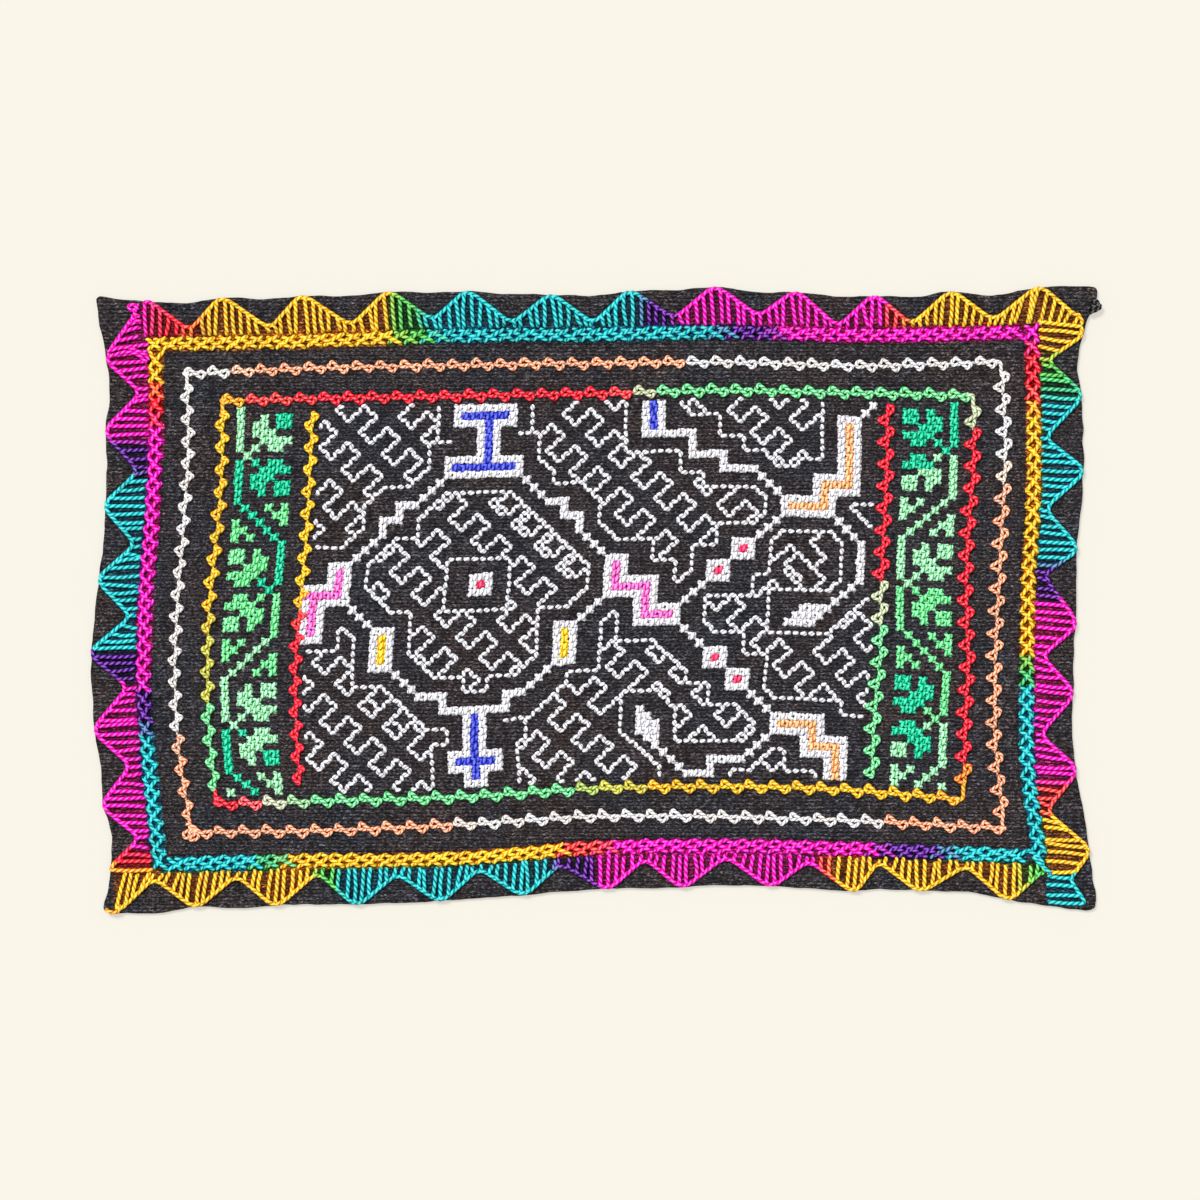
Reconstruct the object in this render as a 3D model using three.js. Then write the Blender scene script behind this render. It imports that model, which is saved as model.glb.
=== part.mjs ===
// Altar cloth laid flat: a black cotton panel with its turned edge, and the raised thread borders
// that are worked on it. Sizes are in millimetres, +X runs along the cloth, +Y across it and +Z up.
// The origin is on the surface that the cloth lies on, under the middle of its outline.
//
// A side of the cloth is described by two distances: "along" it, growing towards +X or +Y, and "out"
// from the cloth's middle line towards that side.

import * as THREE from 'three';

const CLOTH = {
  thickness: 1.2, // evenweave cotton and the thread on its back
  hemRise: 0.3, // what the turned edge adds
  hemWidth: 9,
  hemRamp: 1.5,
  underRound: 0.35, // how far the lower edge is drawn in
  rimRound: 0.5,
  rimHeight: 0.45,
  halfLength: 167,
  halfWidth: 104,
  outlineSteps: 168,
};

const THREAD = { width: 1.2, height: 0.8, clearance: 0.3 };
const EDGING = { rungPitch: 2.8, footGap: 3.0, shortestRung: 0.4, rimMargin: 0.6 };

const STITCHES = {
  herringbone: { pitch: 5.4, swing: 1.5 },
  chain_outer: { pitch: 8.0, swing: 1.2 },
  chain_inner: { pitch: 8.0, swing: 1.4 },
  divider: { pitch: 7.5, swing: 1.4 },
};

const COLOURS = {
  cotton: 0x2c2b2f,
  yellow: 0xf5b814,
  magenta: 0xf0149b,
  cyan: 0x18c0bc,
  orange: 0xf5912a,
  peach: 0xe6966e,
  cream: 0xf5ebd7,
  red: 0xe11e37,
  green: 0x46c864,
};

// One row for each scallop of the edging. The curve comes down to "dip" at "dipAt", where the cloth's
// own edge is at "edge", and rises to "crest" at "crestAt", where it touches that edge.
const SCALLOP_COLUMNS = ['dipAt', 'dip', 'edge', 'crestAt', 'crest'];
const SCALLOPS = {
  top: [
    [null, null, null, -149.5, 99.3],
    [-134.7, 90.7, 99.0, -124.0, 100.0],
    [-108.0, 91.3, 100.3, -97.3, 100.7],
    [-81.0, 92.3, 101.6, -68.3, 102.0],
    [-53.7, 94.0, 102.4, -42.3, 102.2],
    [-27.3, 93.0, 101.9, -14.3, 101.0],
    [-0.3, 93.0, 101.5, 12.0, 102.3],
    [26.7, 94.7, 103.4, 40.3, 103.6],
    [55.0, 95.3, 102.6, 67.0, 102.0],
    [81.3, 92.0, 101.2, 93.3, 100.7],
    [105.7, 92.7, 101.0, 119.0, 102.0],
    [133.0, 94.0, 101.6, 148.3, 103.6],
    [161.5, 94.8, null, null, null],
  ],
  right: [
    [null, null, null, -101.0, 163.2],
    [-93.2, 159.0, 166.2, -83.7, 164.4],
    [-70.0, 151.7, 163.0, -56.7, 160.0],
    [-44.7, 149.7, 159.4, -31.0, 159.0],
    [-18.7, 150.3, 159.8, -8.0, 160.0],
    [8.3, 150.7, 160.7, 17.0, 160.3],
    [30.3, 151.3, 162.3, 43.0, 162.4],
    [54.0, 151.3, 163.0, 68.3, 161.8],
    [79.7, 152.0, 161.0, 89.0, 162.4],
    [91.0, 162.2, null, null, null],
  ],
  bottom: [
    [null, null, null, -159.0, 103.0],
    [-146.4, 93.6, 104.4, -132.6, 101.6],
    [-119.0, 92.7, 102.6, -106.0, 101.2],
    [-92.0, 91.7, 101.4, -79.0, 100.8],
    [-65.3, 92.0, 101.0, -51.3, 99.6],
    [-38.0, 90.3, 99.2, -23.7, 97.6],
    [-11.0, 88.7, 97.2, 4.3, 95.6],
    [17.0, 87.0, 96.0, 29.3, 95.0],
    [44.0, 86.3, 95.0, 59.0, 94.7],
    [71.3, 87.7, 96.0, 86.7, 96.4],
    [94.7, 88.0, 96.4, 108.7, 96.3],
    [123.7, 89.3, 97.2, 138.0, 99.2],
    [149.8, 90.8, null, null, null],
  ],
  left: [
    [null, null, null, -89.9, 160.6],
    [-79.3, 152.3, 160.8, -68.3, 163.0],
    [-55.3, 155.3, 164.4, -43.3, 165.7],
    [-29.0, 156.3, 167.2, -17.7, 166.9],
    [-5.3, 155.3, 166.2, 6.7, 164.4],
    [18.7, 153.7, 163.4, 31.3, 162.3],
    [43.0, 152.7, 162.4, 56.0, 162.0],
    [69.0, 152.0, 161.4, 80.3, 161.7],
    [97.0, 152.6, null, null, null],
  ],
};

// The cloth's four corners as they lie, each from the end of one side to the start of the next, clockwise.
const CORNERS = {
  topLeft: [[-164.6, 91.7], [-165.4, 97.0], [-165.7, 100.2], [-164.9, 101.0], [-158.0, 100.3]],
  topRight: [[161.0, 104.6], [166.0, 104.4], [167.5, 103.4], [167.6, 101.6], [166.7, 97.3], [164.3, 93.2]],
  bottomRight: [[166.8, -96.0], [167.1, -101.4], [166.2, -102.9], [160.0, -103.2], [154.0, -102.2]],
  bottomLeft: [[-159.6, -104.0], [-162.9, -103.4], [-163.4, -102.2], [-161.8, -96.4]],
};

// Where a corner leaves no room, the edging's rungs start further out than beside the herringbone.
const CORNER_FOOT = { side: 'left', beyond: 87, out: 151.2 };

// The straight runs of stitching. "out" holds the line's distance at equal steps from "from" to "to".
const RUN_COLUMNS = ['stitch', 'side', 'colour', 'from', 'to', 'out'];
const RUNS = [
  ['herringbone', 'top', 'cyan', -148.0, 142.0, [85.2, 86.0, 87.8, 88.3, 89.0, 88.1, 89.0]],
  ['herringbone', 'right', 'orange', -85.0, 91.0, [148.3, 144.3, 144.2, 144.5, 146.2, 146.3, 145.7]],
  ['herringbone', 'bottom', 'yellow', -141.0, 143.5, [88.0, 86.8, 86.2, 82.5, 82.0, 83.3, 85.3]],
  ['herringbone', 'left', 'magenta', -89.5, 82.0, [144.2, 147.3, 149.8, 149.3, 147.3, 145.8, 145.7]],
  ['chain_outer', 'top', 'peach', -136.7, 134.7, [75.3, 77.3, 78.2, 78.8, 79.2, 78.0, 79.3]],
  ['chain_outer', 'right', 'peach', -73.0, 76.0, [136.0, 133.4, 133.3, 134.3, 135.6, 136.7, 135.6]],
  ['chain_outer', 'bottom', 'cream', -134.3, 137.0, [77.3, 76.7, 74.7, 72.0, 72.2, 73.7, 76.0]],
  ['chain_outer', 'left', 'cream', -74.0, 72.0, [134.6, 138.3, 139.6, 138.7, 136.8, 135.2, 135.5]],
  ['chain_inner', 'top', 'red', -124.0, 126.0, [66.3, 67.3, 68.0, 68.8, 69.8, 69.0, 68.0]],
  ['chain_inner', 'right', 'red', -62.0, 64.5, [123.0, 123.3, 124.3, 123.7, 124.3, 126.0, 126.3]],
  ['chain_inner', 'bottom', 'green', -126.0, 122.3, [68.0, 66.7, 65.5, 62.8, 62.0, 63.0, 66.3]],
  ['chain_inner', 'left', 'yellow', -64.5, 63.0, [126.0, 128.2, 128.7, 128.0, 125.7, 124.0, 123.7]],
  ['divider', 'left', 'yellow', -62.2, 62.6, [98.0, 99.2, 99.3, 97.7, 95.8, 94.7, 93.7]],
  ['divider', 'right', 'red', -59.8, 65.0, [92.3, 93.0, 95.0, 95.3, 96.3, 97.2, 97.3]],
];

const EDGING_COLOURS = { top: 'yellow', right: 'magenta', bottom: 'yellow', left: 'magenta' };

const named = (columns, row) => Object.fromEntries(columns.map((column, i) => [column, row[i]]));
const hemTop = CLOTH.thickness + CLOTH.hemRise;

/** The place in the plan of a point that is given along a side and out from the middle. */
function onSide(side, along, out) {
  if (side === 'top') return new THREE.Vector2(along, out);
  if (side === 'bottom') return new THREE.Vector2(along, -out);
  if (side === 'right') return new THREE.Vector2(out, along);
  return new THREE.Vector2(-out, along);
}

/** A side's dips and crests in order, each with the cloth's edge beside it. */
function scallopKnots(side) {
  const knots = [];
  for (const row of SCALLOPS[side].map((values) => named(SCALLOP_COLUMNS, values))) {
    if (row.dipAt !== null) {
      knots.push({ along: row.dipAt, out: row.dip, edge: row.edge });
    }
    if (row.crestAt !== null) {
      knots.push({ along: row.crestAt, out: row.crest, edge: row.crest + EDGING.rimMargin });
    }
  }
  return knots;
}

/** How far out the edging's curve is: round over each crest and straight down to each dip. */
function curveOut(knots, along) {
  let next = knots.findIndex((knot) => knot.along >= along);
  if (next === -1) next = knots.length - 1;
  const before = knots[Math.max(next - 1, 0)];
  const after = knots[Math.max(next, 1)];
  const [dip, crest] = before.out < after.out ? [before, after] : [after, before];
  const share = THREE.MathUtils.clamp((along - dip.along) / (crest.along - dip.along), 0, 1);
  return dip.out + (crest.out - dip.out) * Math.sin((share * Math.PI) / 2);
}

/** The line that a run of stitches follows, as a curve of (along, out). */
function runLine(run) {
  const steps = run.out.length - 1;
  return new THREE.SplineCurve(run.out.map(
    (out, i) => new THREE.Vector2(run.from + ((run.to - run.from) * i) / steps, out),
  ));
}

/** Where the rungs of the edging start: beside the herringbone band of that side. */
function footOut(side, along) {
  const band = RUNS.map((row) => named(RUN_COLUMNS, row)).find(
    (run) => run.stitch === 'herringbone' && run.side === side,
  );
  const share = THREE.MathUtils.clamp((along - band.from) / (band.to - band.from), 0, 1);
  const foot = runLine(band).getPoint(share).y + EDGING.footGap;
  if (side === CORNER_FOOT.side && along > CORNER_FOOT.beyond) return Math.max(foot, CORNER_FOOT.out);
  return foot;
}

/** The cloth's outline as it lies, clockwise. */
function clothOutline() {
  const edgeOf = (side) => scallopKnots(side)
    .slice(1, -1)
    .map((knot) => onSide(side, knot.along, knot.edge));
  const corner = (points) => points.map(([x, y]) => new THREE.Vector2(x, y));
  const knots = [
    ...corner(CORNERS.topLeft), ...edgeOf('top'),
    ...corner(CORNERS.topRight), ...edgeOf('right').reverse(),
    ...corner(CORNERS.bottomRight), ...edgeOf('bottom').reverse(),
    ...corner(CORNERS.bottomLeft), ...edgeOf('left'),
  ];
  const loop = new THREE.CatmullRomCurve3(
    knots.map((knot) => new THREE.Vector3(knot.x, knot.y, 0)), true, 'centripetal',
  );
  return loop.getSpacedPoints(CLOTH.outlineSteps).slice(0, -1);
}

/** The cloth as loops of its outline, from the underside round the edge to the flat top. */
function clothGeometry() {
  const outline = clothOutline().reverse();
  const loops = [
    { height: 0, inset: CLOTH.underRound },
    { height: CLOTH.rimHeight, inset: 0 },
    { height: hemTop - CLOTH.rimHeight, inset: 0 },
    { height: hemTop, inset: CLOTH.rimRound },
    { height: hemTop, inset: CLOTH.hemWidth },
    { height: CLOTH.thickness, inset: CLOTH.hemWidth + CLOTH.hemRamp },
  ];
  const positions = [];
  for (const { height, inset } of loops) {
    for (const point of outline) {
      positions.push(
        point.x * (1 - inset / CLOTH.halfLength), point.y * (1 - inset / CLOTH.halfWidth), height,
      );
    }
  }
  const count = outline.length;
  const faces = [];
  for (let loop = 0; loop < loops.length - 1; loop += 1) {
    for (let i = 0; i < count; i += 1) {
      const here = loop * count + i;
      const beside = loop * count + ((i + 1) % count);
      faces.push(here, beside, beside + count, here, beside + count, here + count);
    }
  }
  const lid = THREE.ShapeUtils.triangulateShape(outline.map((p) => new THREE.Vector2(p.x, p.y)), []);
  const top = (loops.length - 1) * count;
  for (const [a, b, c] of lid) {
    faces.push(a, c, b, top + a, top + b, top + c);
  }
  const geometry = new THREE.BufferGeometry();
  geometry.setAttribute('position', new THREE.Float32BufferAttribute(positions, 3));
  geometry.setIndex(faces);
  geometry.computeVertexNormals();
  return geometry;
}

/** A flat piece of thread work, from its outline as points of (along, out) on a side. */
function threadGeometry(side, points) {
  const outline = new THREE.Shape(points.map((point) => onSide(side, point.x, point.y)));
  return new THREE.ExtrudeGeometry(outline, { depth: THREAD.height, bevelEnabled: false });
}

/** The scalloped edging of one side: the curved thread and its rungs, like a comb. */
function edgingGeometry(side) {
  const knots = scallopKnots(side);
  const half = THREAD.width / 2;
  const first = knots[0].along + half;
  const last = knots[knots.length - 1].along - half;
  const count = Math.round((last - first) / EDGING.rungPitch);
  const rungs = Array.from({ length: count + 1 }, (_, i) => first + ((last - first) * i) / count);
  const reach = (along) => {
    const slope = (curveOut(knots, along + half) - curveOut(knots, along - half)) / THREAD.width;
    return half * Math.hypot(1, slope);
  };
  const outer = (along) => new THREE.Vector2(along, curveOut(knots, along) + reach(along));
  const inner = (along) => new THREE.Vector2(along, curveOut(knots, along) - reach(along));
  const points = [outer(first - half), ...rungs.slice(1, -1).map(outer), outer(last + half)];
  for (const rung of rungs.reverse()) {
    const roots = [inner(rung + half), inner(rung - half)];
    const lowest = Math.min(roots[0].y, roots[1].y) - EDGING.shortestRung;
    const foot = Math.min(footOut(side, rung), lowest);
    const tips = [new THREE.Vector2(rung + half, foot), new THREE.Vector2(rung - half, foot)];
    points.push(roots[0], ...tips, roots[1]);
  }
  return threadGeometry(side, points);
}

/** A run of crossing or looped stitches, as one thread that swings from side to side of its line. */
function swingGeometry(run) {
  const { pitch, swing } = STITCHES[run.stitch];
  const line = runLine(run);
  const count = Math.round((run.to - run.from) / (pitch / 2));
  const slope = (2 * swing) / ((run.to - run.from) / count);
  const reach = (THREAD.width / 2) * Math.hypot(1, slope);
  const turn = (i, offset) => {
    const at = line.getPoint(i / count);
    return new THREE.Vector2(at.x, at.y + (i % 2 === 0 ? swing : -swing) + offset);
  };
  const turns = Array.from({ length: count + 1 }, (_, i) => i);
  const points = [...turns.map((i) => turn(i, reach)), ...turns.reverse().map((i) => turn(i, -reach))];
  return threadGeometry(run.side, points);
}

/** A named piece in its own colour, at its height above the surface. */
function piece(name, geometry, colour, height) {
  const material = new THREE.MeshStandardMaterial({ color: COLOURS[colour], roughness: 0.85, metalness: 0 });
  const mesh = new THREE.Mesh(geometry, material);
  mesh.name = name;
  mesh.position.z = height;
  return mesh;
}

const altarCloth = new THREE.Group();
altarCloth.add(piece('cloth', clothGeometry(), 'cotton', 0));
for (const side of Object.keys(SCALLOPS)) {
  const height = hemTop + THREAD.clearance;
  altarCloth.add(piece(`edging_${side}`, edgingGeometry(side), EDGING_COLOURS[side], height));
}
for (const run of RUNS.map((row) => named(RUN_COLUMNS, row))) {
  const height = CLOTH.thickness + THREAD.clearance;
  altarCloth.add(piece(`${run.stitch}_${run.side}`, swingGeometry(run), run.colour, height));
}

// The outline is measured from a point near its middle, so the whole is moved to its own middle.
const middle = new THREE.Box3().setFromObject(altarCloth).getCenter(new THREE.Vector3());
altarCloth.position.set(-middle.x, -middle.y, 0);

export default altarCloth;
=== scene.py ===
"""A black cotton altar cloth laid flat, with raised thread borders and an embroidered panel.

Lengths in the tables are millimetres in the cloth's own plan: +X along it, +Y across it, and Z up from
the surface that it lies on. "Along" is a distance along a side, growing towards +X or +Y, and "out" is
the distance from the cloth's middle line towards that side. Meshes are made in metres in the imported
frame, whose middle is the middle of the cloth's outline.
"""

import bpy
import numpy as np
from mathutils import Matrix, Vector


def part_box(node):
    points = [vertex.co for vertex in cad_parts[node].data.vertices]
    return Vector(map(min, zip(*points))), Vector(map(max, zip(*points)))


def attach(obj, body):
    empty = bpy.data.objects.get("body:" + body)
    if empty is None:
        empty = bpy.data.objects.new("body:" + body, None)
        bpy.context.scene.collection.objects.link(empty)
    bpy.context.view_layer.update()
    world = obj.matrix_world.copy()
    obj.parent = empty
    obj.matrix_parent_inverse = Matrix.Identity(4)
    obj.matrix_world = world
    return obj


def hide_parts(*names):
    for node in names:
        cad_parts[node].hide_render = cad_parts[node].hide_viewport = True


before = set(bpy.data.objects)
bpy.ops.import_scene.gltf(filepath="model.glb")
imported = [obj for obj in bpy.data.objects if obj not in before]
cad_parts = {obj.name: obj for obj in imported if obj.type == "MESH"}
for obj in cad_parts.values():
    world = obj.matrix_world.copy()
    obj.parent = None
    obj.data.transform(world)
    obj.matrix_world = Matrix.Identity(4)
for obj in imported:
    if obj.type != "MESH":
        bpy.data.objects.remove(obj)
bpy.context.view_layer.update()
draw = np.random.default_rng(20)

MM = 0.001
SIDES = ("top", "right", "bottom", "left")
LEVEL_SIDES = ("top", "bottom")
OUT_IS_POSITIVE = ("top", "right")

# The cloth as it lies: its thickness, how high its hem rises and how wide that and its ramp are, how far
# its rim is rounded below and above, how far it reaches past a crest's rope, the steps of its mesh, how
# uneven its edge is, and how far it is off the table.
THICKNESS = 1.2
HEM_RISE, HEM_WIDTH, HEM_RAMP = 0.3, 9.0, 1.5
UNDER_ROUND, RIM_ROUND, RIM_MARGIN = 0.35, 0.5, 0.6
GRID, EDGE_ROUGHNESS, UNDER_GAP = 1.7, 0.22, 0.02

# Its face: how high a slow wave and a ripple are and how far it is raised by them, how deep a line of
# stitches draws it in and how wide, and the distance between the weave's threads.
WAVE, RIPPLE, FACE_LIFT, DRAWN_IN = 0.12, 0.08, 0.12, 0.26
DRAWN_WIDTH = {"herringbone": 3.2, "chain_outer": 2.4, "chain_inner": 2.4, "divider": 2.4}
WEAVE_PITCH = 1.27

# How strongly red, green and blue of the stitches' painted reflected light and shade, partly their lint,
# show on the cloth between them.
LINT_AND_BOUNCE_STRENGTH = (12.0, 12.0, 17.0)

# The shares of the way up to a scallop's crest between which its flank is straight.
SCALLOP_FLANK = (0.2, 0.76)

# Each row of the edging: the dip's place and distance out, the cloth's edge beside it, then the crest's.
SCALLOPS = {
    "top": [
        (None, None, None, -149.5, 99.3),
        (-134.7, 90.7, 99.0, -124.0, 100.0),
        (-108.0, 91.3, 100.3, -97.3, 100.7),
        (-81.0, 92.3, 101.6, -68.3, 102.0),
        (-53.7, 94.0, 102.4, -42.3, 102.2),
        (-27.3, 93.0, 101.9, -14.3, 101.0),
        (-0.3, 93.0, 101.5, 12.0, 102.3),
        (26.7, 94.7, 103.4, 40.3, 103.6),
        (55.0, 95.3, 102.6, 67.0, 102.0),
        (81.3, 92.0, 101.2, 93.3, 100.7),
        (105.7, 92.7, 101.0, 119.0, 102.0),
        (133.0, 94.0, 101.6, 148.3, 103.6),
        (161.5, 94.8, None, None, None),
    ],
    "right": [
        (None, None, None, -101.0, 163.2),
        (-93.2, 159.0, 166.2, -83.7, 164.4),
        (-70.0, 151.7, 163.0, -56.7, 160.0),
        (-44.7, 149.7, 159.4, -31.0, 159.0),
        (-18.7, 150.3, 159.8, -8.0, 160.0),
        (8.3, 150.7, 160.7, 17.0, 160.3),
        (30.3, 151.3, 162.3, 43.0, 162.4),
        (54.0, 151.3, 163.0, 68.3, 161.8),
        (79.7, 152.0, 161.0, 89.0, 162.4),
        (91.0, 162.2, None, None, None),
    ],
    "bottom": [
        (None, None, None, -159.0, 103.0),
        (-146.4, 93.6, 104.4, -132.6, 101.6),
        (-119.0, 92.7, 102.6, -106.0, 101.2),
        (-92.0, 91.7, 101.4, -79.0, 100.8),
        (-65.3, 92.0, 101.0, -51.3, 99.6),
        (-38.0, 90.3, 99.2, -23.7, 97.6),
        (-11.0, 88.7, 97.2, 4.3, 95.6),
        (17.0, 87.0, 96.0, 29.3, 95.0),
        (44.0, 86.3, 95.0, 59.0, 94.7),
        (71.3, 87.7, 96.0, 86.7, 96.4),
        (94.7, 88.0, 96.4, 108.7, 96.3),
        (123.7, 89.3, 97.2, 138.0, 99.2),
        (149.8, 90.8, None, None, None),
    ],
    "left": [
        (None, None, None, -89.9, 160.6),
        (-79.3, 152.3, 160.8, -68.3, 163.0),
        (-55.3, 155.3, 164.4, -43.3, 165.7),
        (-29.0, 156.3, 167.2, -17.7, 166.9),
        (-5.3, 155.3, 166.2, 6.7, 164.4),
        (18.7, 153.7, 163.4, 31.3, 162.3),
        (43.0, 152.7, 162.4, 56.0, 162.0),
        (69.0, 152.0, 161.4, 80.3, 161.7),
        (97.0, 152.6, None, None, None),
    ],
}

# The distance from rung to rung of the edging, and how far out from the herringbone's middle they start.
# On the left, where the band has ended, they start at least so far out.
RUNG_PITCH, RUNG_FOOT = 2.65, 2.8
LEFT_FOOT = (87, 151.2)

# How far on each rung's foot is from its head: places along the side, and the distance at each.
RUNG_LEAN = {
    "top": ((-152, -130, -112, 95, 125, 150), (-0.6, 0.4, 1.0, 0.4, -0.9, -2.3)),
    "right": ((-102, -70, 60, 80, 92), (0.5, 0.9, 0.5, 0.9, 1.5)),
    "bottom": ((-159, -145, -125, -90, 100, 150), (2.5, 1.8, 1.0, 0.5, 0.3, 0.6)),
    "left": ((-90, -40, 60, 84, 97), (0.0, 0.4, 0.3, 1.2, 0.6)),
}

# The cloth's corners, each from the end of one side to the start of the next, clockwise, under the name
# of the side that it leads to.
CORNERS = {
    "top": [(-164.6, 91.7), (-165.4, 97.0), (-165.7, 100.2), (-164.9, 101.0), (-158.0, 100.3)],
    "right": [(161.0, 104.6), (166.0, 104.4), (167.5, 103.4), (167.6, 101.6), (166.7, 97.3), (164.3, 93.2)],
    "bottom": [(166.8, -96.0), (167.1, -101.4), (166.2, -102.9), (160.0, -103.2), (154.0, -102.2)],
    "left": [(-159.6, -104.0), (-162.9, -103.4), (-163.4, -102.2), (-161.8, -96.4)],
}

# The straight runs of stitching: where each starts and ends, and how far out it is at equal steps.
RUNS = {
    ("herringbone", "top"): (-148.0, 142.0, (85.2, 86.0, 87.8, 88.3, 89.0, 88.1, 89.0)),
    ("herringbone", "right"): (-85.0, 91.0, (148.3, 144.3, 144.2, 144.5, 146.2, 146.3, 145.7)),
    ("herringbone", "bottom"): (-141.0, 143.5, (88.0, 86.8, 86.2, 82.5, 82.0, 83.3, 85.3)),
    ("herringbone", "left"): (-89.5, 82.0, (144.2, 147.3, 149.8, 149.3, 147.3, 145.8, 145.7)),
    ("chain_outer", "top"): (-136.7, 134.7, (75.3, 77.3, 78.2, 78.8, 79.2, 78.0, 79.3)),
    ("chain_outer", "right"): (-73.0, 76.0, (136.0, 133.4, 133.3, 134.3, 135.6, 136.7, 135.6)),
    ("chain_outer", "bottom"): (-134.3, 137.0, (77.3, 76.7, 74.7, 72.0, 72.2, 73.7, 76.0)),
    ("chain_outer", "left"): (-74.0, 72.0, (134.6, 138.3, 139.6, 138.7, 136.8, 135.2, 135.5)),
    ("chain_inner", "top"): (-124.0, 126.0, (66.3, 67.3, 68.0, 68.8, 69.8, 69.0, 68.0)),
    ("chain_inner", "right"): (-62.0, 64.5, (123.0, 123.3, 124.3, 123.7, 124.3, 126.0, 126.3)),
    ("chain_inner", "bottom"): (-126.0, 122.3, (68.0, 66.7, 65.5, 62.8, 62.0, 63.0, 66.3)),
    ("chain_inner", "left"): (-64.5, 63.0, (126.0, 128.2, 128.7, 128.0, 125.7, 124.0, 123.7)),
    ("divider", "left"): (-62.2, 62.6, (98.0, 99.2, 99.3, 97.7, 95.8, 94.7, 93.7)),
    ("divider", "right"): (-59.8, 65.0, (92.3, 93.0, 95.0, 95.3, 96.3, 97.2, 97.3)),
}

# Thread colours as seen, in 0 to 255.
DYES = {
    "magenta": (255, 12, 236),
    "purple": (122, 22, 186),
    "blue": (70, 84, 238),
    "cyan": (32, 230, 232),
    "teal": (26, 222, 225),
    "green": (112, 226, 108),
    "mallard": (84, 228, 165),
    "lime": (232, 242, 110),
    "yellow": (255, 234, 46),
    "amber": (255, 220, 52),
    "coral": (255, 100, 98),
    "red": (255, 48, 80),
    "rose": (255, 64, 128),
    "peach": (255, 208, 168),
    "cream": (255, 253, 248),
    "leaf": (158, 255, 190),
    "pale": (236, 250, 215),
    "white": (253, 253, 255),
    "pink": (255, 138, 232),
    "tangerine": (255, 212, 148),
    "mint": (190, 255, 208),
    "jade": (8, 228, 180),
    "sprig": (142, 250, 176),
    "black": (34, 33, 36),
}

# How each variegated thread changes along its run: (dye, from, to), fading from one to the next.
SHADES = {
    ("edging", "top"): [
        ("magenta", -152, -150), ("rose", -146, -145), ("red", -142, -138), ("yellow", -129, -70),
        ("green", -66, -61), ("cyan", -56, 14), ("purple", 17, 25), ("magenta", 28, 95),
        ("coral", 98, 102), ("yellow", 105, 163),
    ],
    ("edging", "right"): [
        ("cyan", -102, -92), ("yellow", -91, -73), ("coral", -71, -63), ("magenta", -60, -2),
        ("purple", 1, 10), ("cyan", 13, 65), ("mallard", 70, 71), ("green", 74, 77), ("yellow", 83, 92),
    ],
    ("edging", "bottom"): [
        ("yellow", -162, -95), ("green", -92, -87), ("cyan", -85, -16), ("purple", -13, -1),
        ("magenta", 1, 73), ("coral", 74, 78), ("yellow", 79, 140), ("green", 146, 152),
    ],
    ("edging", "left"): [
        ("amber", -91, -90), ("red", -89, -85), ("magenta", -83, -29), ("purple", -27, -18),
        ("cyan", -17, 40), ("purple", 42, 51), ("magenta", 54, 100),
    ],
    ("herringbone", "top"): [
        ("yellow", -148, -70), ("green", -64, -57), ("teal", -54, 39), ("purple", 44, 56),
        ("magenta", 62, 144),
    ],
    ("herringbone", "right"): [
        ("cyan", -89, -31), ("mallard", -28, -27), ("green", -24, -22), ("yellow", -17, 63),
        ("coral", 68, 69), ("red", 73, 79), ("rose", 82, 83), ("magenta", 87, 91),
    ],
    ("herringbone", "bottom"): [
        ("cyan", -145, -115), ("mallard", -112, -107), ("yellow", -104, -15), ("coral", -11, 1),
        ("magenta", 4, 91), ("purple", 95, 110), ("cyan", 121, 150),
    ],
    ("herringbone", "left"): [
        ("cyan", -90, -45), ("purple", -41, -31), ("magenta", -27, 57), ("rose", 61, 62),
        ("red", 65, 69), ("yellow", 74, 87),
    ],
    ("chain_outer", "top"): [("cream", -137, -126), ("peach", -114, 26), ("cream", 34, 135)],
    ("chain_outer", "right"): [("peach", -76, 32), ("cream", 48, 79)],
    ("chain_outer", "bottom"): [("peach", -137, -52), ("cream", -42, 95), ("peach", 99, 137)],
    ("chain_outer", "left"): [("peach", -77, -49), ("cream", -44, 75)],
    ("chain_inner", "top"): [
        ("amber", -124, -120), ("coral", -114, -102), ("red", -92, 8), ("pale", 17, 22), ("leaf", 25, 121),
        ("pale", 126, 130),
    ],
    ("chain_inner", "right"): [("amber", -67, -59), ("red", -56, 58), ("pale", 61, 67)],
    ("chain_inner", "bottom"): [
        ("red", -127, -115), ("cream", -113, -108), ("pale", -106, -100), ("leaf", -97, -9),
        ("lime", 0, 12), ("yellow", 18, 111), ("amber", 116, 123),
    ],
    ("chain_inner", "left"): [("leaf", -68, -36), ("lime", -31, -16), ("yellow", 0, 67)],
    ("divider", "left"): [("red", -64, -7), ("amber", 0, 4), ("yellow", 7, 64)],
    ("divider", "right"): [("leaf", -60, -8), ("pale", -6, 3), ("red", 9, 65)],
}

# The centre panel is counted work on a grid of cells, numbered from its top left corner.
PANEL_COLUMNS, PANEL_ROWS, PANEL_INSET, FIELD_HALF_DEPTH = 71, 52, 3.0, 64.0

# How far its holes are from even, and how much of a fine line's stitch is left open at each end of it.
HOLE_SPREAD, STITCH_GAP = 0.13, 0.09

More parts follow.
